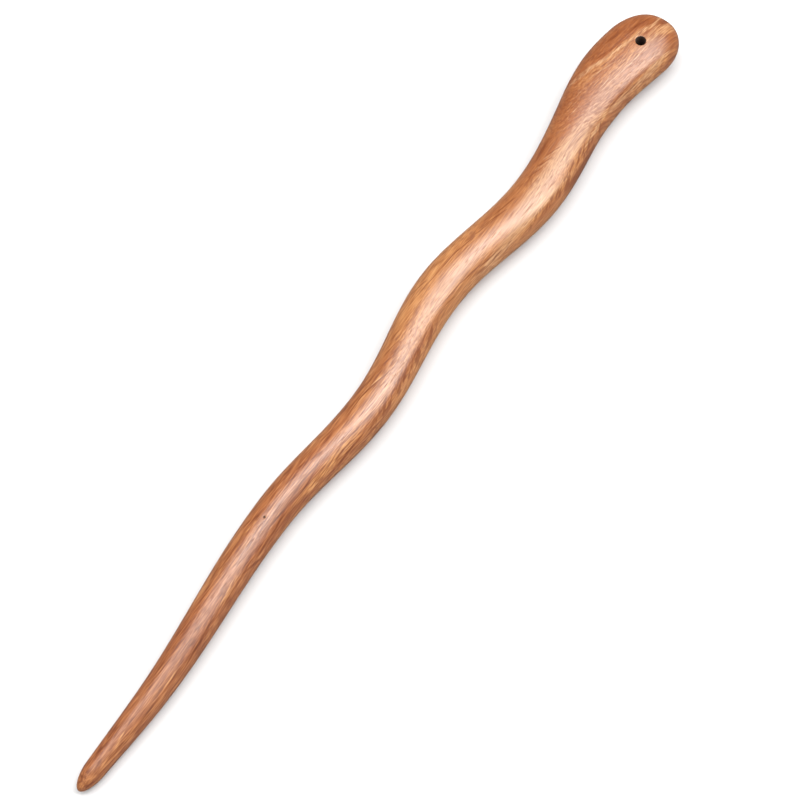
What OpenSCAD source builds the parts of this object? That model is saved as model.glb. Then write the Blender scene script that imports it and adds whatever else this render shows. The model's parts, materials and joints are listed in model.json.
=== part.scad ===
// A wooden hair stick: a tapering shank that waves from side to side, a broad flattened head with a
// round nose, and one small hole through the head. It is carved from one piece, and lies on its underside.
// X runs along the stick from the tip to the nose, Y from side to side, and Z is up.
// The origin is the middle of its length and of its width, on the surface that it lies on.

/* [Length] */
// Length from the end of the tip to the end of the nose
stick_length = 180; // [165:1:195]
// Length of the rounding at the tip
tip_rounding = 4.5; // [3:0.5:7]
// Length of the rounding at the nose
nose_rounding = 8.5; // [6:0.5:11]
// How full the rounding at the nose is: 2 is a quarter of an ellipse, and more is blunter
nose_fullness = 2.2; // [1.8:0.1:3]

/* [Thickness and width] */
// Width across the tip, where its rounding ends
tip_width = 4; // [3:0.1:5]
// Width of the shank halfway along
shank_width = 7.9; // [6.5:0.1:9]
// Width of the neck, just before the shank spreads into the head
neck_width = 9.5; // [8.5:0.1:11]
// Width of the head at its broadest
head_width = 13.4; // [12:0.2:16]
// Thickness of the tip, top to underside
tip_thickness = 3.9; // [3:0.1:5]
// Thickness of the shank halfway along
shank_thickness = 7.5; // [6:0.1:8]
// Thickness of the head
head_thickness = 8.6; // [8:0.1:10]

/* [Hole] */
// Diameter of the hole through the head
hole_diameter = 2; // [1:0.1:3]
// Distance from the end of the nose to the middle of the hole
hole_from_nose = 8.1; // [5:0.1:12]
// Distance of the hole to the right of the head's middle line, looking from the tip
hole_aside = 0.8; // [-2:0.1:2]

/* [Fineness] */
// Sides of each section
section_sides = 32; // [16:4:48]
// Distance between the sections of the shank
section_step = 2.5; // [1.5:0.5:4]
// Sections in the rounding of each end
end_sections = 8; // [5:1:12]

/* [Hidden] */

// Columns of both tables below
ALONG = 0;
SIDE = 1;
WIDTH = 1;
THICKNESS = 2;
FULLNESS = 3;

// Where the middle line turns: a row for the tip, for each hollow and crest of the wave, and for the nose.
// ALONG is the distance from the tip, SIDE the distance to the left of the straight line that it is drawn on.
BENDS = [
    [0, 0.6],
    [18, 0.3],
    [59, 3.1],
    [84, 0.8],
    [110.5, 4.05],
    [136.5, 0.5],
    [162, 3.5],
    [180, 1.5],
];

// The section at places along the stick: how wide and how thick it is, and how full its corners are.
// A fullness of 2 is an ellipse, and more is flatter on top and squarer at the sides.
GIRTH = [
    [0, 0.85 * tip_width, 0.87 * tip_thickness, 2],
    [6, tip_width, tip_thickness, 2],
    [20, 5.2, 5, 2],
    [40, 6.4, 6.1, 2],
    [60, 7, 6.8, 2],
    [76, 0.955 * shank_width, 0.955 * shank_thickness, 2],
    [90, shank_width, shank_thickness, 2],
    [108, 8.8, 7.9, 2],
    [120, 9, 8, 2],
    [140, neck_width, 8.1, 2.1],
    [152, 10, 8.3, 2.2],
    [160, 11.5, 8.5, 2.3],
    [167, head_width - 0.5, head_thickness, 2.3],
    [173, head_width, head_thickness, 2.3],
    [180, head_width, head_thickness, 2.3],
];

table_length = 180;
stretch = stick_length / table_length;

// The row of a table that a place lies in, counted from 0
function row_at(table, x, i = 0) =
    i < len(table) - 2 && x > table[i + 1][ALONG] ? row_at(table, x, i + 1) : i;

// Slope of a column at a row, taken from the rows on either side
function slope(table, column, i) =
    let (a = max(i - 1, 0), b = min(i + 1, len(table) - 1))
    (table[b][column] - table[a][column]) / (table[b][ALONG] - table[a][ALONG]);

// A column at any place, on a smooth curve through its rows
function smooth(table, column, x) =
    let (
        i = row_at(table, x),
        run = table[i + 1][ALONG] - table[i][ALONG],
        s = (x - table[i][ALONG]) / run,
        from = table[i][column],
        to = table[i + 1][column]
    )
    from + (to - from) * s * s * (3 - 2 * s)
        + slope(table, column, i) * run * s * (1 - s) * (1 - s)
        - slope(table, column, i + 1) * run * s * s * (1 - s);

// Side of the middle line at any place: each row is a turning point, with half a wave between two rows
function middle(x) =
    let (
        i = row_at(BENDS, x),
        s = (x - BENDS[i][ALONG]) / (BENDS[i + 1][ALONG] - BENDS[i][ALONG])
    )
    BENDS[i][SIDE] + (BENDS[i + 1][SIDE] - BENDS[i][SIDE]) * (1 - cos(180 * s)) / 2;

// Share of its full size that a section keeps at a distance from an end
function rounded(distance, rounding, fullness) =
    distance >= rounding ? 1 : pow(1 - pow(1 - distance / rounding, fullness), 1 / fullness);

function kept(x) =
    rounded(x * stretch, tip_rounding, 2)
        * rounded((table_length - x) * stretch, nose_rounding, nose_fullness);

function signed_power(v, p) = sign(v) * pow(abs(v), p);

// Points round the section at a place, from its left side over the top
function section(x) =
    let (
        half_width = smooth(GIRTH, WIDTH, x) * kept(x) / 2,
        full_half = smooth(GIRTH, THICKNESS, x) / 2,
        power = 2 / smooth(GIRTH, FULLNESS, x)
    )
    [for (k = [0:section_sides - 1])
        let (turn = 360 * k / section_sides)
        [
            x * stretch,
            middle(x) + half_width * signed_power(cos(turn), power),
            full_half + full_half * kept(x) * signed_power(sin(turn), power),
        ]];

// Places of the sections: close together in each rounded end, and evenly spaced between them
tip_end = tip_rounding / stretch;
nose_start = table_length - nose_rounding / stretch;
shank_steps = ceil((nose_start - tip_end) / section_step);
end_steps = [for (i = [1:end_sections - 1]) 1 - cos(90 * i / end_sections)];
places = concat(
    [for (s = end_steps) tip_end * s],
    [for (i = [0:shank_steps]) tip_end + (nose_start - tip_end) * i / shank_steps],
    [for (i = [len(end_steps) - 1:-1:0]) table_length - (table_length - nose_start) * end_steps[i]]
);

sections = [for (x = places) section(x)];
tip_point = [0, middle(0), smooth(GIRTH, THICKNESS, 0) / 2];
nose_point = [stick_length, middle(table_length), smooth(GIRTH, THICKNESS, table_length) / 2];

// The origin is put midway between the sides that reach furthest
sides = [for (s = sections) for (p = s) p[1]];
centre_side = (max(sides) + min(sides)) / 2;

hole_x = stick_length - hole_from_nose;
hole_side = middle(hole_x / stretch) - hole_aside;

module stick_solid() {
    n = section_sides;
    last = len(sections) - 1;
    tip_index = len(sections) * n;
    polyhedron(
        points = concat([for (s = sections) each s], [tip_point, nose_point]),
        faces = concat(
            [for (i = [0:last - 1]) for (k = [0:n - 1])
                [i * n + k, (i + 1) * n + (k + 1) % n, i * n + (k + 1) % n]],
            [for (i = [0:last - 1]) for (k = [0:n - 1])
                [i * n + k, (i + 1) * n + k, (i + 1) * n + (k + 1) % n]],
            [for (k = [0:n - 1]) [tip_index, k, (k + 1) % n]],
            [for (k = [0:n - 1]) [tip_index + 1, last * n + (k + 1) % n, last * n + k]]
        )
    );
}

module stick() {
    past_both_faces = 1;
    color([0.72, 0.45, 0.27])
        translate([-stick_length / 2, -centre_side, 0])
            difference() {
                stick_solid();
                translate([hole_x, hole_side, -past_both_faces])
                    cylinder(d = hole_diameter, h = head_thickness + 2 * past_both_faces, $fn = 48);
            }
}

stick();
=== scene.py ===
"""A carved wooden hair stick on a pale floor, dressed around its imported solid.

The stick is one piece of wood: a tip, a shank that waves from side to side, and a flattened head
with a small hole. Sizes are in millimetres where a class doesn't say otherwise, colours are linear,
and everything that is built is in metres.
"""

import json
import logging
import math
from dataclasses import dataclass
from enum import Enum
from functools import cached_property
from typing import Sequence, Union

import bmesh
import bpy
import numpy as np
from mathutils import Matrix, Vector


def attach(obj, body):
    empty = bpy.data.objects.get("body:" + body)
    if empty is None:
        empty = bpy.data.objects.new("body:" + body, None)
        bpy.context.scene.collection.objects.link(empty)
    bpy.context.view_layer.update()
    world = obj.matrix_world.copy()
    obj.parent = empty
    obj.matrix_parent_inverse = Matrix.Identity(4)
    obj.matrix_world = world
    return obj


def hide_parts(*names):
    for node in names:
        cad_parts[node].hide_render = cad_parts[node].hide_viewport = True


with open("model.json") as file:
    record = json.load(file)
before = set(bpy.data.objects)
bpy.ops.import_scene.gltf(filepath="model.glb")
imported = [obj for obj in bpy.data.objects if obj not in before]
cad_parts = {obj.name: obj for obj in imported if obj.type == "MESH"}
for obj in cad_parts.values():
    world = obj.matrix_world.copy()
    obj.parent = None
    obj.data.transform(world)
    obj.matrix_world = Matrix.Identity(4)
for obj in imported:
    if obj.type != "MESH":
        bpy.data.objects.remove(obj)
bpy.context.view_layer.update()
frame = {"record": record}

MM = 0.001
TAU = 2 * math.pi
STICK_NODE = "stick"
ROOT_BODY = "root"
HOLE_MOUNT = "head_hole"

# The order of the Mix node's sockets, for numbers and for colours
MIX_NUMBERS = 2
MIX_COLORS = 6
MIXED_COLOR = 2

Socket = bpy.types.NodeSocket
Link = Union[Socket, float, Sequence[float]]
Triple = tuple[float, float, float]
Place = tuple[float, float]
Edges = list[bmesh.types.BMEdge]

log = logging.getLogger("hair_stick")


@dataclass(frozen=True)
class Ramp:
    """A change between two values, from a low to a high reading, and held outside them."""

    low: float
    high: float
    at_low: float = 0.0
    at_high: float = 1.0
    smooth: bool = True


@dataclass(frozen=True)
class Wiring:
    """Adds nodes to a tree and joins them, for both materials and geometry."""

    tree: bpy.types.NodeTree

    def add(self, kind: str, **settings: object) -> bpy.types.Node:
        """Adds one node.

        Args:
            kind: The node's type name.
            settings: Properties of the node, set by name.

        Returns:
            The new node.
        """
        node = self.tree.nodes.new(kind)
        for name, value in settings.items():
            setattr(node, name, value)
        return node

    def feed(self, socket: Socket, value: Link) -> None:
        """Joins a socket to another, or sets its own value.

        Args:
            socket: The input that is fed.
            value: An output to join it to, or a plain value.
        """
        if isinstance(value, Socket):
            self.tree.links.new(value, socket)
        else:
            socket.default_value = value

    def fill(self, node: bpy.types.Node, **inputs: Link) -> bpy.types.Node:
        """Feeds inputs by name, where an underscore stands for a space.

        Args:
            node: The node whose inputs are fed.
            inputs: A value or an output for each named input.

        Returns:
            The same node.
        """
        for name, value in inputs.items():
            self.feed(node.inputs[name.replace("_", " ")], value)
        return node

    def line_up(self, node: bpy.types.Node, values: Sequence[Link], first: int = 0) -> bpy.types.Node:
        """Feeds inputs in order.

        Args:
            node: The node whose inputs are fed.
            values: A value or an output for each input.
            first: The input that gets the first value.

        Returns:
            The same node.
        """
        for socket, value in zip(list(node.inputs)[first:], values):
            self.feed(socket, value)
        return node

    def math(self, operation: str, *values: Link) -> Socket:
        """Works out a number from one to three others, with Blender's name for the sum."""
        return self.line_up(self.add("ShaderNodeMath", operation=operation), values).outputs[0]

    def times(self, first: Link, second: Link) -> Socket:
        """Multiplies two numbers."""
        return self.math("MULTIPLY", first, second)

    def vector(self, operation: str, *values: Link) -> Socket:
        """Works out a vector from two others, with Blender's name for the sum."""
        return self.line_up(self.add("ShaderNodeVectorMath", operation=operation), values).outputs[0]

    def distance(self, *places: Link) -> Socket:
        """Measures the distance between two places."""
        node = self.add("ShaderNodeVectorMath", operation="DISTANCE")
        return self.line_up(node, places).outputs["Value"]

    def combine(self, x: Link, y: Link, z: Link) -> Socket:
        """Makes a vector of three numbers."""
        return self.line_up(self.add("ShaderNodeCombineXYZ"), (x, y, z)).outputs[0]

    def split(self, vector: Socket) -> tuple[Socket, ...]:
        """Takes a vector apart into its three numbers."""
        return tuple(self.line_up(self.add("ShaderNodeSeparateXYZ"), (vector,)).outputs)

    def mix(self, share: Link, first: Link, second: Link) -> Socket:
        """Mixes two numbers, where the share is how much of the second shows."""
        node = self.line_up(self.add("ShaderNodeMix", data_type="FLOAT"), (share,))
        return self.line_up(node, (first, second), MIX_NUMBERS).outputs[0]

    def blend(self, share: Link, first: Link, second: Link, mode: str = "MIX") -> Socket:
        """Mixes two colours in a mode that Blender names, where the share is how much of the second shows."""
        node = self.line_up(self.add("ShaderNodeMix", data_type="RGBA", blend_type=mode), (share,))
        return self.line_up(node, (first, second), MIX_COLORS).outputs[MIXED_COLOR]

    def coat(self, color: Link, shows: Link, share: float, tone: Triple) -> Socket:
        """Lays a tone over a colour where it shows, and there up to a share."""
        return self.blend(self.times(shows, share), color, (*tone, 1))

    def ramp(self, value: Link, over: Ramp) -> Socket:
        """Maps a number along a ramp, which eases in and out where it is smooth."""
        node = self.add("ShaderNodeMapRange", interpolation_type="SMOOTHSTEP" if over.smooth else "LINEAR")
        values = (value, over.low, over.high, over.at_low, over.at_high)
        return self.line_up(node, values).outputs[0]


@dataclass(frozen=True)
class Figure:
    """A noise drawn out along the wood, with its waves per millimetre in three directions."""

    along: float
    layer: float
    cross: float
    detail: float = 2.0
    roughness: float = 0.5

    def draw(self, wire: Wiring, along: Link, layer: Link, cross: Link) -> Socket:
        """Looks the noise up.

        Args:
            wire: The material's wiring.
            along: Place along the wood.
            layer: Place across its growth layers.
            cross: Place within a layer.

        Returns:
            The noise, from 0 to 1.
        """
        readings = ((along, self.along), (layer, self.layer), (cross, self.cross))
        where = wire.combine(*(wire.times(reading, waves) for reading, waves in readings))
        node = wire.fill(wire.add("ShaderNodeTexNoise"), Vector=where, Scale=1.0)
        return wire.fill(node, Detail=self.detail, Roughness=self.roughness).outputs[0]


@dataclass(frozen=True)
class Bend:
    """A turning point of the stick's middle line."""

    along: float
    side: float


@dataclass(frozen=True)
class Girth:
    """The section at one place: a fullness of 2 is an ellipse, and more is squarer."""

    along: float
    width: float
    thickness: float
    fullness: float


@dataclass(frozen=True)
class StickShape:
    """The stick's surface, as functions of the distance from the tip."""

    length: float = 180.0
    tip_rounding: float = 4.5
    nose_rounding: float = 8.5
    tip_fullness: float = 2.0
    nose_fullness: float = 2.2
    looks_for_width: int = 721
    bends: tuple[Bend, ...] = (
        Bend(0, 0.6),
        Bend(18, 0.3),
        Bend(59, 3.1),
        Bend(84, 0.8),
        Bend(110.5, 4.05),
        Bend(136.5, 0.5),
        Bend(162, 3.5),
        Bend(180, 1.5),
    )
    girths: tuple[Girth, ...] = (
        Girth(0, 3.4, 3.393, 2),
        Girth(6, 4, 3.9, 2),
        Girth(20, 5.2, 5, 2),
        Girth(40, 6.4, 6.1, 2),
        Girth(60, 7, 6.8, 2),
        Girth(76, 7.5445, 7.1625, 2),
        Girth(90, 7.9, 7.5, 2),
        Girth(108, 8.8, 7.9, 2),
        Girth(120, 9, 8, 2),
        Girth(140, 9.5, 8.1, 2.1),
        Girth(152, 10, 8.3, 2.2),
        Girth(160, 11.5, 8.5, 2.3),
        Girth(167, 12.9, 8.6, 2.3),
        Girth(173, 13.4, 8.6, 2.3),
        Girth(180, 13.4, 8.6, 2.3),
    )

    def middle(self, along: float) -> float:
        """Works out the side of the middle line, with half a wave between two bends.

        Args:
            along: Distance from the tip.

        Returns:
            How far to the left the middle is.
        """
        last = len(self.bends) - 2
        i = next((k for k in range(last) if along <= self.bends[k + 1].along), last)
        a, b = self.bends[i], self.bends[i + 1]
        share = (along - a.along) / (b.along - a.along)
        return a.side + (b.side - a.side) * (1 - math.cos(math.pi * share)) / 2

    def girth(self, along: float, column: str) -> float:
        """Reads a column of the girth table on a smooth curve through its rows.

        Args:
            along: Distance from the tip.
            column: The column's name.

        Returns:
            The value there.
        """
        rows = self.girths
        last = len(rows) - 1
        i = next((k for k in range(last) if along <= rows[k + 1].along), last - 1)

        def slope(k: int) -> float:
            """Slope of the column at a row, taken from the rows on either side."""
            a, b = rows[max(k - 1, 0)], rows[min(k + 1, last)]
            return (getattr(b, column) - getattr(a, column)) / (b.along - a.along)

        run = rows[i + 1].along - rows[i].along
        s = (along - rows[i].along) / run
        start, end = getattr(rows[i], column), getattr(rows[i + 1], column)
        eased = start + (end - start) * s * s * (3 - 2 * s)
        return eased + run * s * (1 - s) * (slope(i) * (1 - s) - slope(i + 1) * s)

    def kept(self, along: float) -> float:
        """Works out the share of its full size that a section keeps in the rounded ends.

        Args:
            along: Distance from the tip.

        Returns:
            A share from 0 to 1.
        """
        share = 1.0
        for distance, rounding, fullness in (
            (along, self.tip_rounding, self.tip_fullness),
            (self.length - along, self.nose_rounding, self.nose_fullness),
        ):
            if distance < rounding:
                share *= max(0.0, 1 - (1 - distance / rounding) ** fullness) ** (1 / fullness)
        return share

    def height(self, along: float, side: float, upper: bool) -> float:
        """Works out the height of the surface above a place in plan.

        Args:
            along: Distance from the tip.
            side: Distance to the left.
            upper: Whether the top is meant, or else the underside.

        Returns:
            Height above what the stick lies on.
        """
        kept = self.kept(along)
        fullness = self.girth(along, "fullness")
        half_width = self.girth(along, "width") * kept / 2
        half = self.girth(along, "thickness") / 2
        reach = min(1.0, abs(side - self.middle(along)) / half_width)
        rise = half * kept * (1 - reach ** fullness) ** (1 / fullness)
        return half + rise if upper else half - rise

    def turn(self, along: float, side: float, height: float) -> float:
        """Works out a place's turn in its section from the left side, alike above and below the middle."""
        lift = abs(height - self.girth(along, "thickness") / 2)
        return math.atan2(lift, side - self.middle(along))

    def centre_side(self) -> float:
        """Finds the side that lies midway between the furthest reach to the left and to the right.

        Returns:
            Distance to the left.
        """
        reach = []
        for along in np.linspace(0, self.length, self.looks_for_width):
            half = self.girth(along, "width") * self.kept(along) / 2
            reach += [self.middle(along) - half, self.middle(along) + half]
        return (min(reach) + max(reach)) / 2

    @cached_property
    def shift(self) -> Vector:
        """Gives the place of the tables' zero in the part's frame, in metres."""
        return Vector((-self.length / 2 * MM, -self.centre_side() * MM, 0))

    def places(self, step: float, tip_steps: int, nose_steps: int) -> list[float]:
        """Chooses where the sections of the mesh stand: close together in the rounded ends.

        Args:
            step: Distance between the sections of the shank.
            tip_steps: Sections in the tip's rounding.
            nose_steps: Sections in the nose's rounding.

        Returns:
            Distances from the tip, from 0 to the whole length.
        """
        def ease(i: int, count: int) -> float:
            """Share of a rounded end that lies before its section i."""
            return 1 - math.cos(math.pi / 2 * i / count)

        nose_start = self.length - self.nose_rounding
        count = round((nose_start - self.tip_rounding) / step)
        tip = [self.tip_rounding * ease(i, tip_steps) for i in range(tip_steps)]
        shank = list(np.linspace(self.tip_rounding, nose_start, count + 1))
        nose = [self.length - self.nose_rounding * ease(i, nose_steps) for i in range(nose_steps)]
        return tip + shank + nose[::-1]


@dataclass(frozen=True)
class Hole:
    """The drilled hole through the head, with its place in the same terms as the bends."""

    shape: StickShape
    along: float
    side: float
    radius: float
    ease: float = 0.12
    patch: float = 2.1
    rings: int = 7
    crowding: float = 0.7
    ease_rings: int = 4
    bore_rings: int = 6

    @property
    def rim(self) -> float:
        """Gives the radius at which the easing of the rim starts."""
        return self.radius + self.ease

    def steps(self) -> list[Triple]:
        """Lists the rings from the edge of the patch over the eased rim to the bore.

        Returns:
            For each ring, its share of the way to the rim, how far inside the rim it lies, and its depth.
        """
        steps = []
        for i in range(1, self.rings + 1):
            share = i / self.rings
            steps.append((share * (1 + self.crowding - self.crowding * share), 0.0, 0.0))
        for i in range(1, self.ease_rings + 1):
            turn = math.pi / 2 * i / self.ease_rings
            steps.append((1.0, self.ease * math.sin(turn), self.ease * (1 - math.cos(turn))))
        return steps

    def polar(self, point: Vector) -> Place:
        """Gives the place in plan of a point in the mesh, seen from the hole's axis.

        Args:
            point: The point, in metres.

        Returns:
            Its turn about the axis in radians, and its distance from it.
        """
        x = (point.x - self.shape.shift.x) / MM - self.along
        y = (point.y - self.shape.shift.y) / MM - self.side
        return math.atan2(y, x), math.hypot(x, y)

    def uncover(self, mesh: bmesh.types.BMesh, upper: bool) -> Edges:
        """Takes a patch of the skin out round the hole.

        Args:
            mesh: The stick's skin.
            upper: Whether the top is opened, or else the underside.

        Returns:
            The edges round the patch.
        """
        shape, shift = self.shape, self.shape.shift
        middle = shape.girth(self.along, "thickness") / 2 * MM
        left, right = (
            shape.turn(self.along, side, shape.height(self.along, side, True))
            for side in (self.side + self.patch, self.side - self.patch)
        )
        patch = []
        for face in mesh.faces:
            centre = face.calc_center_median()
            along, side = (centre.x - shift.x) / MM, (centre.y - shift.y) / MM
            if abs(along - self.along) < self.patch and (centre.z > middle) == upper:
                if left < shape.turn(along, side, centre.z / MM) < right:
                    patch.append(face)
        bmesh.ops.delete(mesh, geom=patch, context="FACES")
        borders = [e for e in mesh.edges if e.is_boundary and (e.verts[0].co.z > middle) == upper]
        return [e for e in borders if self.polar(e.verts[0].co)[1] > self.rim]

    def open(self, mesh: bmesh.types.BMesh, upper: bool) -> Edges:
        """Replaces a patch of the skin by rings that run down to the round rim.

        Args:
            mesh: The stick's skin.
            upper: Whether the top is opened, or else the underside.

        Returns:
            The edges of the last ring, at the end of the bore.
        """
        loop = self.uncover(mesh, upper)
        seen = {v: self.polar(v.co) for e in loop for v in e.verts}
        for share, inset, depth in self.steps():
            made = bmesh.ops.extrude_edge_only(mesh, edges=loop)["geom"]
            fresh = {}
            for vert in (g for g in made if isinstance(g, bmesh.types.BMVert)):
                old = next(e.other_vert(vert) for e in vert.link_edges if e.other_vert(vert) in seen)
                fresh[vert] = seen[old]
                turn, outer = seen[old]
                reach = outer + (self.rim - outer) * share - inset
                x = self.along + reach * math.cos(turn)
                y = self.side + reach * math.sin(turn)
                z = self.shape.height(x, y, upper) + (-depth if upper else depth)
                vert.co = Vector((x * MM, y * MM, z * MM)) + self.shape.shift
            edges = (g for g in made if isinstance(g, bmesh.types.BMEdge))
            loop = [e for e in edges if e.verts[0] in fresh and e.verts[1] in fresh]
            seen = fresh
        return loop

    def cut(self, mesh: bmesh.types.BMesh) -> None:
        """Opens the hole through both faces and lines it.

        Args:
            mesh: The stick's skin.
        """
        ends = self.open(mesh, upper=True) + self.open(mesh, upper=False)
        walls = set(bmesh.ops.bridge_loops(mesh, edges=ends)["faces"])
        half = self.shape.girth(self.along, "thickness") / 2 * MM
        edges = (e for e in mesh.edges if abs(e.verts[0].co.z - e.verts[1].co.z) > half)
        uprights = [e for e in edges if walls.intersection(e.link_faces)]
        bmesh.ops.subdivide_edges(mesh, edges=uprights, cuts=self.bore_rings, use_grid_fill=True)


@dataclass(frozen=True)
class Pit:
    """A tiny open pore in the top of the shank, with its place in the same terms as the bends."""

    shape: StickShape
    along: float = 56.45
    side: float = 2.87
    radius: float = 0.36
    depth: float = 0.14

    def press(self, mesh: bmesh.types.BMesh) -> None:
        """Sinks the skin round the pit.

        Args:
            mesh: The stick's skin.
        """
        centre = Vector((self.along * MM, self.side * MM)) + self.shape.shift.to_2d()
        for vert in mesh.verts:
            reach = (vert.co.to_2d() - centre).length / (self.radius * MM)
            if reach < 1 and vert.normal.z > 0:
                vert.co.z -= self.depth * MM * (1 - reach * reach) ** 2


@dataclass(frozen=True)
class StickBody:
    """The whole stick: its rail, its swept skin, its hole and its pit."""

    shape: StickShape
    hole: Hole
    pit: Pit
    sides: int = 120
    step: float = 0.28
    tip_steps: int = 14
    nose_steps: int = 24
    seam: float = 0.001
    least_kept: float = 1e-6

    def rail(self) -> bpy.types.Object:
        """Makes the row of points that the skin is swept along, each with its section's sizes.

        Returns:
            A mesh object of loose points.
        """
        shape = self.shape
        places = shape.places(self.step, self.tip_steps, self.nose_steps)
        mesh = bpy.data.meshes.new("stick_rail")
        mesh.from_pydata([(x * MM, shape.middle(x) * MM, 0) for x in places], [], [])
        columns = {
            "half_width": [shape.girth(x, "width") * MM / 2 for x in places],
            "half_thickness": [shape.girth(x, "thickness") * MM / 2 for x in places],
            "fullness": [shape.girth(x, "fullness") for x in places],
            "kept": [max(shape.kept(x), self.least_kept) for x in places],
        }
        for name, values in columns.items():
            mesh.attributes.new(name, "FLOAT", "POINT").data.foreach_set("value", values)
        rail = bpy.data.objects.new("hair_stick", mesh)
        bpy.context.scene.collection.objects.link(rail)
        return rail

    def sweep_tree(self) -> bpy.types.NodeTree:
        """Builds the tree that sweeps a full-cornered oval along the rail.

        The points of a grid are laid round the rail: each row of the grid is one section. A point's
        row is its index divided by the row's length, with half a step added against rounding.

        Returns:
            The tree, with inputs Sides, Seam and Material.
        """
        tree = bpy.data.node_groups.new("Carved skin", "GeometryNodeTree")
        sockets = {"Rail": "Geometry", "Sides": "Int", "Seam": "Float", "Material": "Material"}
        for name, kind in sockets.items():
            tree.interface.new_socket(name, in_out="INPUT", socket_type="NodeSocket" + kind)
        tree.interface.new_socket("Skin", in_out="OUTPUT", socket_type="NodeSocketGeometry")
        wire = Wiring(tree)
        given = wire.add("NodeGroupInput").outputs
        size = wire.fill(wire.add("GeometryNodeAttributeDomainSize"), Geometry=given["Rail"])
        row = wire.math("ADD", given["Sides"], 1)
        grid = wire.add("GeometryNodeMeshGrid")
        wire.fill(grid, Vertices_X=size.outputs["Point Count"], Vertices_Y=row)
        index = wire.add("GeometryNodeInputIndex").outputs[0]
        section = wire.math("FLOOR", wire.math("DIVIDE", wire.math("ADD", index, 0.5), row))
        side = wire.math("SUBTRACT", index, wire.times(section, row))
        turn = wire.times(wire.math("DIVIDE", side, given["Sides"]), -TAU)

        def sampled(value: Socket, kind: str) -> Socket:
            """Value of the rail at the section that a point belongs to."""
            node = wire.add("GeometryNodeSampleIndex", data_type=kind, domain="POINT")
            return wire.fill(node, Geometry=given["Rail"], Value=value, Index=section).outputs[0]

        def column(name: str) -> Socket:
            """A named column of the rail."""
            node = wire.add("GeometryNodeInputNamedAttribute", data_type="FLOAT")
            return sampled(wire.fill(node, Name=name).outputs[0], "FLOAT")

        kept, fullness, full_half = column("kept"), column("fullness"), column("half_thickness")
        half_width = wire.times(column("half_width"), kept)
        half_height = wire.times(full_half, kept)

        def term(ratio: Socket, half: Socket) -> Socket:
            """One of the two terms of the oval's equation in its polar form."""
            return wire.math("POWER", wire.math("DIVIDE", wire.math("ABSOLUTE", ratio), half), fullness)

        cosine, sine = wire.math("COSINE", turn), wire.math("SINE", turn)
        terms = wire.math("ADD", term(cosine, half_width), term(sine, half_height))
        reach = wire.math("POWER", terms, wire.math("DIVIDE", -1.0, fullness))
        centre = sampled(wire.add("GeometryNodeInputPosition").outputs[0], "FLOAT_VECTOR")
        lift = wire.math("ADD", full_half, wire.times(reach, sine))
        offset = wire.combine(0.0, wire.times(reach, cosine), lift)
        placed = wire.add("GeometryNodeSetPosition")
        wire.fill(placed, Geometry=grid.outputs["Mesh"], Position=wire.vector("ADD", centre, offset))
        last = placed
        for kind, setting in (
            ("GeometryNodeMergeByDistance", {"Distance": given["Seam"]}),
            ("GeometryNodeSetShadeSmooth", {}),
            ("GeometryNodeRealizeInstances", {}),
            ("GeometryNodeSetMaterial", {"Material": given["Material"]}),
        ):
            last = wire.fill(wire.add(kind), Geometry=last.outputs[0], **setting)
        wire.feed(wire.add("NodeGroupOutput").inputs[0], last.outputs[0])
        return tree

    def build(self, material: bpy.types.Material) -> bpy.types.Object:
        """Sweeps the skin, drills the hole and puts the stick in its place.

        Args:
            material: The wood.

        Returns:
            The finished stick.
        """
        stick = self.rail()
        tree = self.sweep_tree()
        modifier = stick.modifiers.new("Skin", "NODES")
        modifier.node_group = tree
        names = {item.name: item.identifier for item in tree.interface.items_tree}
        modifier[names["Sides"]] = self.sides
        modifier[names["Seam"]] = self.seam * MM
        modifier[names["Material"]] = material
        evaluated = stick.evaluated_get(bpy.context.evaluated_depsgraph_get())
        skin = bpy.data.meshes.new_from_object(evaluated)
        stick.modifiers.remove(modifier)
        stick.data = skin
        skin.transform(Matrix.Translation(self.shape.shift))
        mesh = bmesh.new()
        mesh.from_mesh(skin)
        self.pit.press(mesh)
        self.hole.cut(mesh)
        mesh.to_mesh(skin)
        mesh.free()
        skin.polygons.foreach_set("use_smooth", [True] * len(skin.polygons))
        skin.update()
        return stick


@dataclass(frozen=True)
class Viewpoint:
    """The camera, at the photograph's angle to the stick, with its angles in degrees."""

    azimuth: float = -41.61
    elevation: float = 67.0
    roll: float = 13.0
    distance: float = 395.47
    aim: Triple = (-1.413, -5.416, 4.0)
    lens: float = 99.0
    sensor: float = 36.0
    nearest: float = 10.0
    furthest: float = 20000.0

    def across(self) -> Vector:
        """Gives the level direction to the picture's right."""
        turn = math.radians(self.azimuth)
        return Vector((math.cos(turn), math.sin(turn), 0))

    def onward(self) -> Vector:
        """Gives the level direction away from the camera."""
        turn = math.radians(self.azimuth)
        return Vector((-math.sin(turn), math.cos(turn), 0))

    def build(self) -> bpy.types.Object:
        """Makes the scene's camera.

        Returns:
            The camera object.
        """
        turn, tilt, roll = (math.radians(a) for a in (self.azimuth, self.elevation, self.roll))
        flat = math.cos(tilt)
        back = Vector((math.sin(turn) * flat, -math.cos(turn) * flat, math.sin(tilt)))
        upright = back.cross(self.across())
        right = self.across() * math.cos(roll) - upright * math.sin(roll)
        data = bpy.data.cameras.new("camera")
        data.lens = self.lens
        data.sensor_width = self.sensor
        data.clip_start = self.nearest * MM
        data.clip_end = self.furthest * MM
        camera = bpy.data.objects.new("camera", data)
        bpy.context.scene.collection.objects.link(camera)
        turned = Matrix((right, back.cross(right), back)).transposed().to_4x4()
        place = Vector(self.aim) * MM + back * self.distance * MM
        camera.matrix_world = Matrix.Translation(place) @ turned
        bpy.context.scene.camera = camera
        return camera


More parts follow.
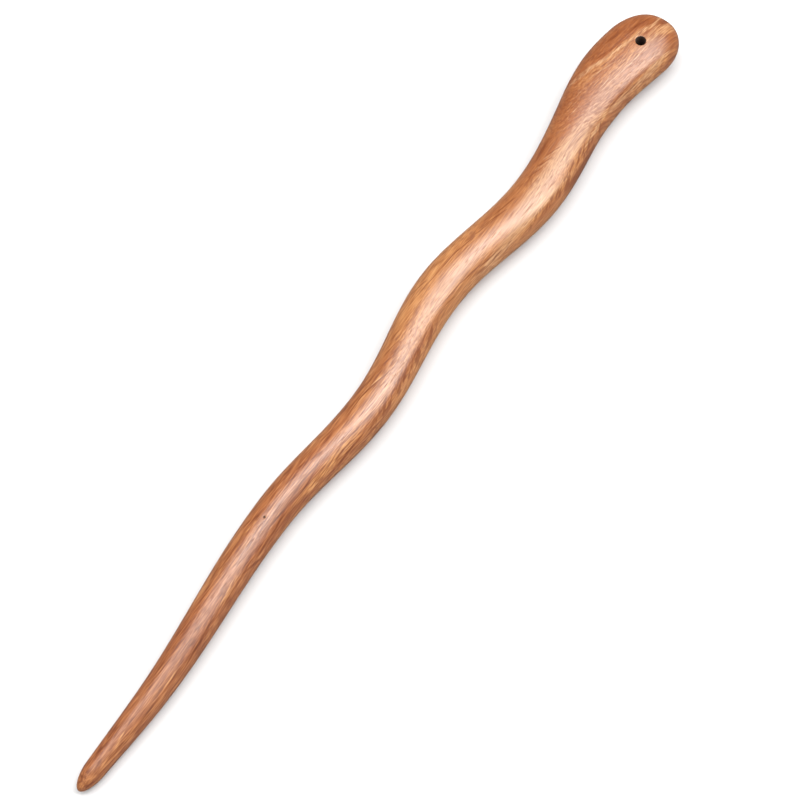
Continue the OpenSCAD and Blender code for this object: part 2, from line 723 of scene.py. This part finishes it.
@dataclass(frozen=True)
class Softbox:
    """A large soft lamp that faces the stick: angles in degrees, sizes in metres, power in watts."""

    name: str
    right: float
    away: float
    distance: float
    width: float
    depth: float
    power: float
    twist: float = 0.0
    mirrored: bool = True

    def build(self, view: Viewpoint) -> bpy.types.Object:
        """Hangs the lamp.

        Args:
            view: The camera, whose directions the angles are measured in.

        Returns:
            The lamp.
        """
        data = bpy.data.lights.new(self.name, "AREA")
        data.shape = "RECTANGLE"
        data.size = self.width
        data.size_y = self.depth
        data.energy = self.power
        across = view.across()
        lean = math.radians(math.hypot(self.right, self.away))
        turn = math.atan2(self.away, self.right)
        level = across * math.cos(turn) + view.onward() * math.sin(turn)
        way = level * math.sin(lean) + Vector((0, 0, math.cos(lean)))
        level_side = (across - way * across.dot(way)).normalized()
        side = Matrix.Rotation(math.radians(self.twist), 3, way) @ level_side
        lamp = bpy.data.objects.new(self.name, data)
        lamp.visible_glossy = self.mirrored
        bpy.context.scene.collection.objects.link(lamp)
        turned = Matrix((side, way.cross(side), way)).transposed().to_4x4()
        lamp.matrix_world = Matrix.Translation(way * self.distance) @ turned
        return lamp


@dataclass(frozen=True)
class Studio:
    """The pale floor, the even surroundings and the soft lamps, with the floor's size in metres.

    The floor and the surroundings are dimmer where the wood mirrors them than where they light it,
    so that the dark wood keeps its depth.
    """

    view: Viewpoint
    floor_size: float = 3.0
    floor_tone: float = 0.75
    floor_mirrored: float = 0.12
    floor_roughness: float = 0.7
    floor_shine: float = 0.2
    around: float = 0.52
    around_mirrored: float = 0.03
    lamps: tuple[Softbox, ...] = (
        Softbox("panel", right=11.6, away=12.2, distance=1.2, width=2.0, depth=0.59, power=11.6, twist=4),
        Softbox("strip", right=29.4, away=-9.6, distance=1.0, width=1.02, depth=0.184, power=6.4, twist=-32),
        Softbox("fill", right=-28, away=30, distance=1.2, width=1.4, depth=1.4, power=6, mirrored=False),
    )

    def dimmed(self, socket: Socket, seen: float, mirrored: float) -> None:
        """Gives a shader's input one value, and another one in reflections.

        Args:
            socket: The input.
            seen: The value that is seen and gives light.
            mirrored: The value that the wood mirrors.
        """
        wire = Wiring(socket.id_data)
        in_mirror = wire.add("ShaderNodeLightPath").outputs["Is Glossy Ray"]
        wire.feed(socket, wire.mix(in_mirror, seen, mirrored))

    def floor(self) -> bpy.types.Object:
        """Lays the floor.

        Returns:
            The floor, marked as stage.
        """
        half = self.floor_size / 2
        corners = [(-half, -half, 0), (half, -half, 0), (half, half, 0), (-half, half, 0)]
        mesh = bpy.data.meshes.new("floor")
        mesh.from_pydata(corners, [], [(0, 1, 2, 3)])
        floor = bpy.data.objects.new("floor", mesh)
        bpy.context.scene.collection.objects.link(floor)
        material = bpy.data.materials.new("pale floor")
        material.use_nodes = True
        surface = material.node_tree.nodes["Principled BSDF"]
        self.dimmed(surface.inputs["Base Color"], self.floor_tone, self.floor_mirrored)
        surface.inputs["Roughness"].default_value = self.floor_roughness
        surface.inputs["Specular IOR Level"].default_value = self.floor_shine
        mesh.materials.append(material)
        return floor

    def surroundings(self) -> None:
        """Fills the space around with even light."""
        world = bpy.data.worlds.new("surroundings")
        world.use_nodes = True
        sky = world.node_tree.nodes["Background"]
        sky.inputs["Color"].default_value = (1, 1, 1, 1)
        self.dimmed(sky.inputs["Strength"], self.around, self.around_mirrored)
        bpy.context.scene.world = world

    def build(self) -> None:
        """Sets up the whole studio."""
        self.floor()
        self.surroundings()
        for lamp in self.lamps:
            lamp.build(self.view)
        bpy.context.scene.view_settings.view_transform = "Standard"


class Mark(Enum):
    """What a mark on the stick looks like: most are the wood's own tones, and some are painted light or
    shade.
    """

    DARK = "dark"
    RED = "red"
    GOLDEN = "golden"
    PALE = "pale"
    PORES = "pores"


DARK, RED, GOLDEN, PALE, PORES = Mark


@dataclass(frozen=True)
class Streak:
    """A long soft-ended mark on the top of the stick, between two places along and to the left."""

    kind: Mark
    from_along: float
    from_side: float
    to_along: float
    to_side: float
    width: float
    strength: float

    def added(self, wire: Wiring, where: Socket, total: Link) -> Socket:
        """Adds the streak to those before it: strongest in its middle, and fading to its ends and sides.

        Args:
            wire: The material's wiring.
            where: Place in plan.
            total: How strong the streaks before it are.

        Returns:
            How strong they all are.
        """
        start, end = Vector((self.from_along, self.from_side)), Vector((self.to_along, self.to_side))
        run, centre = end - start, (start + end) / 2
        local = wire.add("ShaderNodeMapping", vector_type="TEXTURE")
        wire.fill(local, Vector=where, Location=(*centre, 0.0), Scale=(run.length / 2, self.width / 2, 1.0))
        wire.fill(local, Rotation=(0.0, 0.0, math.atan2(run.y, run.x)))
        cone = wire.add("ShaderNodeTexGradient", gradient_type="SPHERICAL")
        wire.fill(cone, Vector=local.outputs[0])
        return wire.math("MULTIPLY_ADD", cone.outputs["Fac"], self.strength, total)


STREAKS = tuple(Streak(*row) for row in (
    # The tip and the first third
    (RED, 2, 1.5, 34, 2.6, 1.6, 1.1),
    (RED, 24, 2.6, 44, 2.5, 1.9, 1.3),
    (GOLDEN, 20, 1.9, 23, 1.1, 0.3, 1.4),
    (DARK, 23.5, 0.95, 28, 0.85, 0.25, 1.2),
    (GOLDEN, 17, -1.0, 29, -1.05, 0.6, 1.2),
    (DARK, 12, -1.35, 21, -1.55, 0.22, 1.5),
    (DARK, 20, -1.5, 28, -1.5, 0.25, 1.3),
    (DARK, 27, -1.7, 35, -0.9, 0.36, 2.2),
    (DARK, 33, -1.45, 38.5, -0.05, 0.36, 1.9),
    (DARK, 38, -0.5, 44, 0.75, 0.22, 1.3),
    (GOLDEN, 8, -1.0, 14, 0.1, 0.45, 0.9),
    (DARK, 6, -0.9, 13, -1.2, 0.22, 0.9),
    (GOLDEN, 37, 4.1, 48, 3.1, 0.8, 1.3),
    (GOLDEN, 41, 4.7, 47, 3.3, 0.35, 1.0),
    (DARK, 35, 3.1, 42, 2.85, 0.29, 1.0),
    (DARK, 35, 2.05, 43, 2.35, 0.25, 0.9),
    (GOLDEN, 37, -0.5, 48, 0.6, 1.3, 0.9),
    # The first crest and the slope after it
    # The next six red streaks are partly the wood's red tone and partly painted shade: they darken the wood
    # along the edges of the highlight so that it reads narrower.
    (RED, 29, -0.2, 45, 0.1, 1.3, 1.1),
    (RED, 33, 0.7, 52, 2.0, 2.4, 1.2),
    (RED, 43, 3.2, 68, 3.4, 1.4, 1.4),
    (RED, 56, 3.2, 76, 2.1, 1.3, 1.3),
    (RED, 64, 3.4, 84, 1.8, 1.5, 1.2),
    (RED, 44, 0.6, 64, 0.6, 1.8, 1.6),
    (DARK, 45.5, 0.2, 51, -0.55, 0.36, 1.0),
    (DARK, 46.5, 0.3, 52, 1.15, 0.29, 1.3),
    (DARK, 49.5, 0.0, 57, 0.35, 0.29, 2.0),
    (DARK, 55, 0.2, 61.5, 1.25, 0.32, 2.0),
    (GOLDEN, 53, 0.55, 61, 1.75, 0.25, 0.9),
    (DARK, 52, 1.3, 64, 0.95, 0.36, 1.2),
    (DARK, 60, 0.75, 66, 0.45, 0.22, 1.1),
    (DARK, 63, 0.35, 70, 0.8, 0.25, 1.3),
    (GOLDEN, 61, 0.2, 82, -1.3, 1.7, 1.5),
    (DARK, 65, -0.3, 71, 0.0, 0.14, 1.0),
    (DARK, 67, -0.9, 74, -0.25, 0.16, 1.0),
    (DARK, 70, -0.9, 80, -1.05, 0.18, 1.1),
    (DARK, 70.5, -1.45, 80, -2.0, 0.25, 1.7),
    (GOLDEN, 48, 4.4, 57.5, 3.5, 0.9, 0.8),
    (DARK, 53, 4.5, 59, 3.85, 0.25, 1.2),
    (RED, 48, 5.0, 72, 4.2, 2.6, 1.3),
    (DARK, 53, 5.2, 56, 4.6, 0.43, 0.9),
    (DARK, 62.5, 3.5, 66.5, 2.7, 0.43, 1.2),
    (DARK, 66, 3.6, 69.5, 2.9, 0.43, 1.1),
    (DARK, 69, 2.6, 72.5, 1.75, 0.43, 1.1),
    (RED, 60, 3.9, 76, 2.3, 1.6, 0.9),
    # The hollow, and the long dark line that crosses it
    (RED, 72, 3.6, 90, 3.2, 2.0, 0.9),
    (DARK, 72.5, 3.4, 77, 2.8, 0.36, 0.7),
    (DARK, 79, 2.2, 86, 2.25, 0.2, 1.9),
    (DARK, 83, 2.45, 89.5, 1.3, 0.3, 2.4),
    (DARK, 87, 1.85, 93, 0.4, 0.28, 2.0),
    (PALE, 83, 2.75, 92, 1.0, 0.3, 1.1),
    (DARK, 76, 1.45, 81, 1.35, 0.18, 0.9),
    (DARK, 82, 3.7, 88.5, 3.0, 0.43, 0.8),
    (RED, 87, 3.1, 99, 2.2, 2.2, 1.3),
    (DARK, 90, 3.0, 95, 1.9, 0.29, 1.1),
    (DARK, 92.5, 3.9, 98, 2.8, 0.22, 0.8),
    (PORES, 78, -2.9, 107, 0.3, 1.9, 3.0),
    (RED, 82, -2.4, 108, 0.9, 1.4, 1.5),
    (GOLDEN, 92, -1.9, 112, -0.1, 1.2, 1.7),
    (GOLDEN, 94, 4.9, 113, 6.2, 2.9, 1.7),
    (GOLDEN, 98, 4.4, 112, 4.7, 0.9, 1.0),
    (DARK, 105, 7.1, 109.5, 5.95, 0.25, 1.7),
    (DARK, 106, 5.6, 113, 5.0, 0.2, 1.3),
    (GOLDEN, 102, 0.2, 118, 0.3, 0.9, 1.5),
    (DARK, 104, 1.2, 113, 0.85, 0.22, 1.3),
    (DARK, 106, 0.65, 111, 0.25, 0.16, 0.9),
    # The second crest and the slope to the neck
    (GOLDEN, 108, 6.6, 124, 5.3, 1.8, 1.5),
    (DARK, 110, 5.35, 118.5, 4.75, 0.22, 1.3),
    (DARK, 115.5, 5.1, 122, 3.65, 0.3, 2.4),
    (DARK, 112.5, 4.4, 122, 3.15, 0.18, 1.1),
    (DARK, 121, 4.2, 127, 2.5, 0.22, 1.3),
    (DARK, 123, 4.0, 129.5, 1.95, 0.27, 1.5),
    (DARK, 125.5, 3.7, 132.5, 2.05, 0.32, 1.3),
    (RED, 122, 4.6, 136, 3.3, 1.9, 1.3),
    (GOLDEN, 129, 2.0, 141, 1.4, 0.9, 1.0),
    (GOLDEN, 131, 4.9, 138, 4.5, 0.8, 0.9),
    (RED, 133, 3.5, 152, 4.4, 2.9, 1.5),
    (DARK, 140, 3.6, 147, 4.4, 0.86, 0.8),
    (DARK, 136, 3.1, 140.5, 1.3, 0.22, 1.1),
    (DARK, 138.5, 3.0, 143, 1.1, 0.22, 1.1),
    (DARK, 141.5, 2.7, 146, 1.0, 0.22, 1.0),
    (PALE, 137.5, 3.0, 142, 1.2, 0.22, 0.9),
    (PALE, 140, 2.9, 145, 1.1, 0.22, 0.9),
    (GOLDEN, 112, 0.1, 133, -3.0, 1.5, 1.8),
    # The next two broad pale streaks are partly paler wood and partly painted light: the first brightens the
    # neck's highlight, the second lightens its right flank.
    (PALE, 124, -0.4, 158, 0.6, 4.6, 1.2),
    (PALE, 112, -0.2, 146, -3.4, 1.9, 1.7),
    (DARK, 111, 0.95, 119, -0.05, 0.22, 1.3),
    (DARK, 117, 0.05, 124.5, -1.25, 0.22, 1.4),
    (DARK, 115.5, -0.2, 119, -0.75, 0.32, 1.1),
    (DARK, 119.5, -1.0, 123, -1.4, 0.32, 1.1),
    (RED, 126.5, 0.65, 134, 0.35, 0.3, 0.8),
    (RED, 134.5, 0.35, 141, 0.45, 0.3, 0.8),
    (GOLDEN, 126, -2.7, 150, -2.3, 1.7, 1.7),
    (PORES, 126, -2.7, 143, -3.6, 1.2, 1.8),
    (PORES, 136, -3.7, 157, -1.4, 1.8, 3.0),
    (GOLDEN, 134, -3.3, 150, -2.0, 2.0, 1.6),
    # painted shade: the next two dark streaks darken the right edge of the neck and the head, standing in for
    # the shade on that flank.
    (DARK, 137, -4.2, 158, -2.35, 0.8, 1.2),
    (DARK, 154, -2.5, 174, -4.8, 0.5, 1.0),
    # The head
    (RED, 147, 5.2, 163, 7.9, 3.2, 1.4),
    (RED, 157, 7.9, 182, 4.9, 5.4, 2.4),
    (DARK, 161, 8.1, 164.5, 7.2, 0.5, 0.6),
    (DARK, 166.5, 7.2, 174, 5.4, 1.3, 0.5),
    (DARK, 170, 5.2, 178, 3.1, 1.2, 0.5),
    (DARK, 163, 6.6, 168, 5.4, 0.4, 0.8),
    (DARK, 168, 5.4, 173, 4.2, 0.35, 0.9),
    (DARK, 173, 4.4, 178, 3.0, 0.4, 0.9),
    (PALE, 154, 8.6, 166.5, 4.7, 1.3, 0.8),
    (PALE, 161.5, 6.2, 173.5, 2.2, 1.2, 1.05),
    (PALE, 169.5, 3.4, 179, 1.3, 1.2, 0.9),
    (PALE, 175.5, 1.3, 182, 2.5, 1.2, 0.9),
    (PALE, 161, 5.0, 166, 2.6, 0.3, 1.4),
    (PALE, 157, 5.7, 163, 4.2, 0.25, 1.0),
    (PALE, 152, 5.4, 159, 4.4, 0.25, 1.0),
    (PALE, 148, 3.9, 156, 3.0, 0.25, 0.8),
    # The next two broad pale streaks are partly paler wood and partly a painted highlight on the top and
    # right side of the head.
    (PALE, 148, 1.3, 170, 0.3, 4.8, 0.35),
    (PALE, 168, 0.9, 184, -1.2, 4.6, 0.75),
    (PALE, 138, -1.5, 160, -0.7, 1.8, 0.9),
    (PALE, 146, -2.4, 157, -1.2, 0.7, 1.1),
    (PALE, 154, -1.1, 167, -2.5, 1.0, 1.5),
    (PALE, 163, -2.2, 176, -3.9, 1.1, 1.5),
    (GOLDEN, 160, -2.4, 178, -4.4, 1.4, 1.2),
    (PALE, 158, 1.9, 170, 0.1, 0.3, 1.1),
    (PALE, 164, 0.6, 176, -0.3, 0.3, 0.9),
    (PALE, 158, 2.2, 163.5, 1.9, 0.3, 0.9),
    (DARK, 160.5, 5.5, 163.5, 4.4, 0.4, 0.7),
    (DARK, 163, 4.8, 165.5, 3.9, 0.4, 0.7),
    (DARK, 149.5, 5.1, 156, 4.2, 0.22, 0.9),
    (DARK, 151, 4.4, 158, 3.5, 0.18, 0.8),
    (GOLDEN, 150, 5.0, 167, 2.6, 2.4, 0.4),
    (GOLDEN, 154, 7.0, 179, 1.4, 2.4, 1.0),
    (GOLDEN, 157, 2.8, 178, 0.4, 3.0, 0.7),
    (GOLDEN, 148, -2.0, 160, -1.0, 0.9, 1.7),
    (GOLDEN, 156, -1.0, 176, -4.0, 1.2, 1.8),
    (DARK, 157, -1.05, 162.5, -1.55, 0.29, 1.5),
    (DARK, 160, -1.65, 166.5, -2.4, 0.25, 1.2),
    (PALE, 167, -2.4, 174, -3.35, 0.3, 1.2),
    (GOLDEN, 174.5, 0.2, 180, -1.8, 2.4, 1.5),
    (DARK, 177.6, 0.85, 180.4, 0.35, 1.1, 1.8),
    (RED, 174, -2.4, 179, -3.2, 1.0, 1.0),
))


@dataclass(frozen=True)
class Spot:
    """A material's outputs for a place in the stick: along, to the left, up, and across the growth layers."""

    wire: Wiring
    along: Socket
    side: Socket
    height: Socket
    depth: Socket

    def drawn(self, figure: Figure) -> Socket:
        """Draws a noise out along the grain."""
        return figure.draw(self.wire, self.along, self.depth, self.side)

    def away_from(self, mark: Union[Hole, Pit]) -> Socket:
        """Measures the distance in plan from the hole or the pit."""
        flat = self.wire.combine(self.along, self.side, 0.0)
        return self.wire.distance(flat, (mark.along, mark.side, 0.0))


@dataclass(frozen=True)
class Wood:
    """Reddish tan hardwood, sanded and polished to a satin sheen."""

    shape: StickShape
    hole: Hole
    pit: Pit

    # The tones
    tan: Triple = (0.385, 0.137, 0.043)
    russet: Triple = (0.315, 0.093, 0.026)
    golden: Triple = (0.495, 0.206, 0.068)
    pale: Triple = (0.56, 0.31, 0.155)
    umber: Triple = (0.19, 0.042, 0.007)
    # painted shade: the dark tone of the hole's wall stands in for the shade inside the bore
    bore: Triple = (0.13, 0.085, 0.07)
    # the near-black colour at the bottom of the pit
    pit_black: Triple = (0.03, 0.014, 0.008)

    # The growth layers: how they sink along the stick, lean in the shank, and stand on edge in the head
    drifts: tuple[Ramp, ...] = (
        Ramp(12, 68, 0, 4.2),
        Ramp(84, 110, 0, 2.6),
        Ramp(100, 150, 0, 1.5),
        Ramp(132, 160, 0, 3.0),
    )
    shank_lean: float = 0.35
    head_run: float = 0.22
    head_lean: float = 0.3
    head_start: float = 36.2
    into_head: Ramp = Ramp(138, 160)
    waviness: Figure = Figure(0.035, 0.22, 0.22)
    wave_height: float = 1.1

    # The grain, with its fine lines and fibres set about a middle of one half
    bands: Figure = Figure(0.016, 0.5, 0.12, 2.0, 0.55)
    lines: Figure = Figure(0.07, 2.3, 0.9, 3.0, 0.6)
    fibres: Figure = Figure(0.3, 4.2, 4.2, 1.5, 0.6)
    line_share: float = 0.75
    fibre_share: float = 1.35
    grain_offset: float = -0.55

    # The tone of the bands, the lighter middle of the stick, and thin dark veins
    from_russet: Ramp = Ramp(0.38, 0.62)
    lighter_from: Ramp = Ramp(65, 106)
    lighter_until: Ramp = Ramp(150, 116)
    lighter_share: float = 0.64
    veins: Figure = Figure(0.02, 1.5, 0.35)
    vein_edge: Ramp = Ramp(0.03, 0.0)
    vein_share: float = 0.35

    # The streaks: how they wander, thin out down the sides, and break up along the grain
    wander: Triple = (0.1, 0.5, 0.5)
    wander_reach: Triple = (3.0, 0.3, 0.0)
    half_thickness: Ramp = Ramp(0, 100, 1.9, 3.9, smooth=False)
    down_the_side: Ramp = Ramp(0.45, 0.9)
    swell: Ramp = Ramp(0.3, 0.7, -1.0, 1.0)
    broken: float = 0.35
    pale_broken: Ramp = Ramp(150, 135, 0.35, 0.15)
    faint: float = 0.02
    full: float = 0.9
    dark_full: float = 0.5
    pale_full: float = 0.95
    red_share: float = 0.65
    golden_share: float = 0.75
    pale_share: float = 0.6
    dark_share: float = 0.75

    # The light and dark of the grain, stronger towards the tip and calm in the neck
    shading: Ramp = Ramp(0.25, 0.75, -0.45, 0.45, smooth=False)
    contrast: Ramp = Ramp(75, 108, 1.1, 0.7)
    neck_from: Ramp = Ramp(114, 128)
    neck_until: Ramp = Ramp(156, 142)
    neck_calm: float = -0.28
    shading_powers: Triple = (0.85, 1.3, 1.7)

    # Rows of cut pores, which run aslant, and small open ones everywhere
    dashes: Figure = Figure(0.3, 2.4, 0.6, 2.0, 0.6)
    aslant: float = -0.38
    dash_edge: Ramp = Ramp(0.5, 0.58)
    dash_share: float = 0.75
    ticks: Figure = Figure(0.4, 3.8, 3.8, 1.0)
    tick_edge: Ramp = Ramp(0.59, 0.68)
    tick_share: float = 0.42

    # The painted shade on the wall of the hole, and the near-black bottom of the pit
    bore_shade_edge: float = 0.06
    pit_core: float = 0.4
    pit_heights: Place = (0.6, 0.8)
    pit_share: float = 0.85
    pit_roughness: float = 0.9

    # The polish
    ior: float = 1.55
    shine: float = 1.0
    sheen: Triple = (1.0, 0.98, 0.93)
    roughness: Ramp = Ramp(0.3, 0.7, 0.345, 0.31, smooth=False)
    duller_tip: Ramp = Ramp(60, 20, 0.0, 0.05)
    tick_roughness: float = 0.15
    tick_depth: float = -0.8
    relief_strength: float = 0.28
    relief: float = 0.05

    streaks: tuple[Streak, ...] = STREAKS

    def place(self, wire: Wiring) -> Socket:
        """Finds the place in the stick, in the same terms as the bends.

        Args:
            wire: The material's wiring.

        Returns:
            The place, along, to the left and up.
        """
        where = wire.add("ShaderNodeTexCoord").outputs["Object"]
        scaled = wire.vector("MULTIPLY", where, (1 / MM, 1 / MM, 1 / MM))
        return wire.vector("ADD", scaled, (self.shape.length / 2, self.shape.centre_side(), 0.0))

    def layers(self, wire: Wiring, place: Socket) -> Socket:
        """Works out which growth layer a place lies in, so that grain lines run along the layers.

        Args:
            wire: The material's wiring.
            place: Place in the stick.

        Returns:
            Depth across the layers.
        """
        along, side, height = wire.split(place)
        sunk = 0.0
        for drift in self.drifts:
            sunk = wire.math("ADD", sunk, wire.ramp(along, drift))
        shank = wire.math("MULTIPLY_ADD", side, self.shank_lean, wire.math("SUBTRACT", height, sunk))
        head = wire.math("MULTIPLY_ADD", height, self.head_lean, side)
        head = wire.math("MULTIPLY_ADD", along, self.head_run, head)
        head = wire.math("SUBTRACT", head, self.head_start)
        depth = wire.mix(wire.ramp(along, self.into_head), shank, head)
        wave = wire.math("SUBTRACT", self.waviness.draw(wire, along, side, height), 0.5)
        return wire.math("MULTIPLY_ADD", wave, self.wave_height, depth)

    def grain(self, spot: Spot) -> Socket:
        """Draws the fine grain, mostly from 0 to 1."""
        fine = spot.wire.math("MULTIPLY_ADD", spot.drawn(self.fibres), self.fibre_share, self.grain_offset)
        return spot.wire.math("MULTIPLY_ADD", spot.drawn(self.lines), self.line_share, fine)

    def marks(self, wire: Wiring, place: Socket, grain: Socket) -> dict[Mark, Socket]:
        """Lays the charted streaks on the top of the stick.

        Args:
            wire: The material's wiring.
            place: Place in the stick.
            grain: The fine grain, which breaks up their edges.

        Returns:
            How strongly each kind shows.
        """
        along, side, height = wire.split(place)
        noise = wire.add("ShaderNodeTexNoise")
        wire.fill(noise, Vector=wire.vector("MULTIPLY", place, self.wander), Scale=1.0, Detail=2.0)
        swing = wire.vector("SUBTRACT", noise.outputs["Color"], (0.5, 0.5, 0.5))
        flat = wire.combine(along, side, 0.0)
        moved = wire.vector("ADD", flat, wire.vector("MULTIPLY", swing, self.wander_reach))
        rise = wire.math("DIVIDE", height, wire.ramp(along, self.half_thickness))
        above = wire.ramp(rise, self.down_the_side)
        swell = wire.ramp(grain, self.swell)
        found = {}
        for kind in Mark:
            total = 0.0
            for streak in (s for s in self.streaks if s.kind is kind):
                total = streak.added(wire, moved, total)
            spread = wire.ramp(along, self.pale_broken) if kind is PALE else self.broken
            broken = wire.times(total, wire.math("MULTIPLY_ADD", swell, spread, 1.0))
            full = {DARK: self.dark_full, PALE: self.pale_full}.get(kind, self.full)
            found[kind] = wire.times(wire.ramp(broken, Ramp(self.faint, full)), above)
        return found

    def tone(self, spot: Spot, marks: dict[Mark, Socket]) -> Socket:
        """Colours the bands, the lighter middle, the streaks and the veins.

        Args:
            spot: Place in the stick.
            marks: How strongly each kind of streak shows.

        Returns:
            The colour without its fine grain.
        """
        wire = spot.wire
        bands = wire.ramp(spot.drawn(self.bands), self.from_russet)
        color = wire.blend(bands, (*self.russet, 1), (*self.tan, 1))
        lighter = wire.ramp(spot.along, self.lighter_from)
        lighter = wire.times(lighter, wire.ramp(spot.along, self.lighter_until))
        veins = wire.math("ABSOLUTE", wire.math("SUBTRACT", spot.drawn(self.veins), 0.5))
        veins = wire.ramp(veins, self.vein_edge)
        for shows, share, tone in (
            (lighter, self.lighter_share, self.golden),
            (marks[RED], self.red_share, self.russet),
            (marks[GOLDEN], self.golden_share, self.golden),
            (marks[PALE], self.pale_share, self.pale),
            (veins, self.vein_share, self.umber),
            (marks[DARK], self.dark_share, self.umber),
        ):
            color = wire.coat(color, shows, share, tone)
        return color

    def shaded(self, spot: Spot, color: Socket, grain: Socket) -> Socket:
        """Lightens and darkens a colour with the grain, and most in its blue.

        Args:
            spot: Place in the stick.
            color: The colour without its grain.
            grain: The fine grain.

        Returns:
            The grained colour.
        """
        wire = spot.wire
        contrast = wire.ramp(spot.along, self.contrast)
        neck = wire.times(wire.ramp(spot.along, self.neck_from), wire.ramp(spot.along, self.neck_until))
        contrast = wire.math("MULTIPLY_ADD", neck, self.neck_calm, contrast)
        shade = wire.math("MULTIPLY_ADD", wire.ramp(grain, self.shading), contrast, 1.0)
        shades = wire.combine(*(wire.math("POWER", shade, power) for power in self.shading_powers))
        return wire.blend(1.0, color, shades, "MULTIPLY")

    def dashed(self, spot: Spot, shows: Socket) -> Socket:
        """Draws the aslant rows of cut pores where the charted ones show.

        Args:
            spot: Place in the stick.
            shows: How strongly the charted pores show.

        Returns:
            How strongly a pore shows.
        """
        sheared = spot.wire.math("MULTIPLY_ADD", spot.along, self.aslant, spot.side)
        dashes = self.dashes.draw(spot.wire, spot.along, sheared, spot.height)
        return spot.wire.times(spot.wire.ramp(dashes, self.dash_edge), shows)

    def painted_bore_shade(self, spot: Spot) -> Socket:
        """Tells the wall of the hole, at 1, from the rest, at 0: there the colour is darkened as painted
        shade inside the bore.
        """
        edge = Ramp(self.hole.radius + self.bore_shade_edge, self.hole.radius)
        return spot.wire.ramp(spot.away_from(self.hole), edge)

    def pitted(self, spot: Spot) -> Socket:
        """Tells the pit in the top of the shank from the rest.

        Args:
            spot: Place in the stick.

        Returns:
            A share that is 1 at the bottom of the pit.
        """
        core = Ramp(self.pit.radius, self.pit_core * self.pit.radius)
        thickness = self.shape.girth(self.pit.along, "thickness")
        top = Ramp(*(thickness * share for share in self.pit_heights))
        inside = spot.wire.ramp(spot.away_from(self.pit), core)
        return spot.wire.times(inside, spot.wire.ramp(spot.height, top))

    def build(self) -> bpy.types.Material:
        """Makes the material.

        Returns:
            The wood.
        """
        material = bpy.data.materials.new("satin hardwood")
        material.use_nodes = True
        wire = Wiring(material.node_tree)
        surface = material.node_tree.nodes["Principled BSDF"]
        place = self.place(wire)
        spot = Spot(wire, *wire.split(place), self.layers(wire, place))
        grain = self.grain(spot)
        marks = self.marks(wire, place, grain)
        ticks = wire.ramp(spot.drawn(self.ticks), self.tick_edge)
        pitted = self.pitted(spot)

        color = self.shaded(spot, self.tone(spot, marks), grain)
        for shows, share, tone in (
            (self.dashed(spot, marks[PORES]), self.dash_share, self.umber),
            (ticks, self.tick_share, self.umber),
            # painted shade on the wall of the hole
            (self.painted_bore_shade(spot), 1.0, self.bore),
            (pitted, self.pit_share, self.pit_black),
        ):
            color = wire.coat(color, shows, share, tone)
        wire.feed(surface.inputs["Base Color"], color)

        dull = wire.math("ADD", wire.ramp(grain, self.roughness), wire.ramp(spot.along, self.duller_tip))
        dull = wire.math("MULTIPLY_ADD", ticks, self.tick_roughness, dull)
        wire.feed(surface.inputs["Roughness"], wire.mix(pitted, dull, self.pit_roughness))
        surface.inputs["IOR"].default_value = self.ior
        surface.inputs["Specular IOR Level"].default_value = self.shine
        surface.inputs["Specular Tint"].default_value = (*self.sheen, 1)

        height = wire.math("MULTIPLY_ADD", ticks, self.tick_depth, grain)
        bump = wire.fill(wire.add("ShaderNodeBump"), Height=height)
        wire.fill(bump, Strength=self.relief_strength, Distance=self.relief * MM)
        wire.feed(surface.inputs["Normal"], bump.outputs[0])
        return material


def main() -> None:
    """Builds the stick, the studio and the camera."""
    logging.basicConfig(level=logging.INFO, format="%(message)s")
    shape = StickShape()
    mount = next(m for m in frame["record"]["mounts"] if m["name"] == HOLE_MOUNT)
    hole = Hole(
        shape,
        along=mount["pos_m"][0] / MM + shape.length / 2,
        side=mount["pos_m"][1] / MM + shape.centre_side(),
        radius=mount["dims"]["r_mm"],
    )
    pit = Pit(shape)
    wood = Wood(shape, hole, pit).build()
    stick = StickBody(shape, hole, pit).build(wood)
    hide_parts(STICK_NODE)
    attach(stick, ROOT_BODY)
    log.info("stick: %d faces", len(stick.data.polygons))
    view = Viewpoint()
    Studio(view).build()
    view.build()


if __name__ == "__main__":
    main()
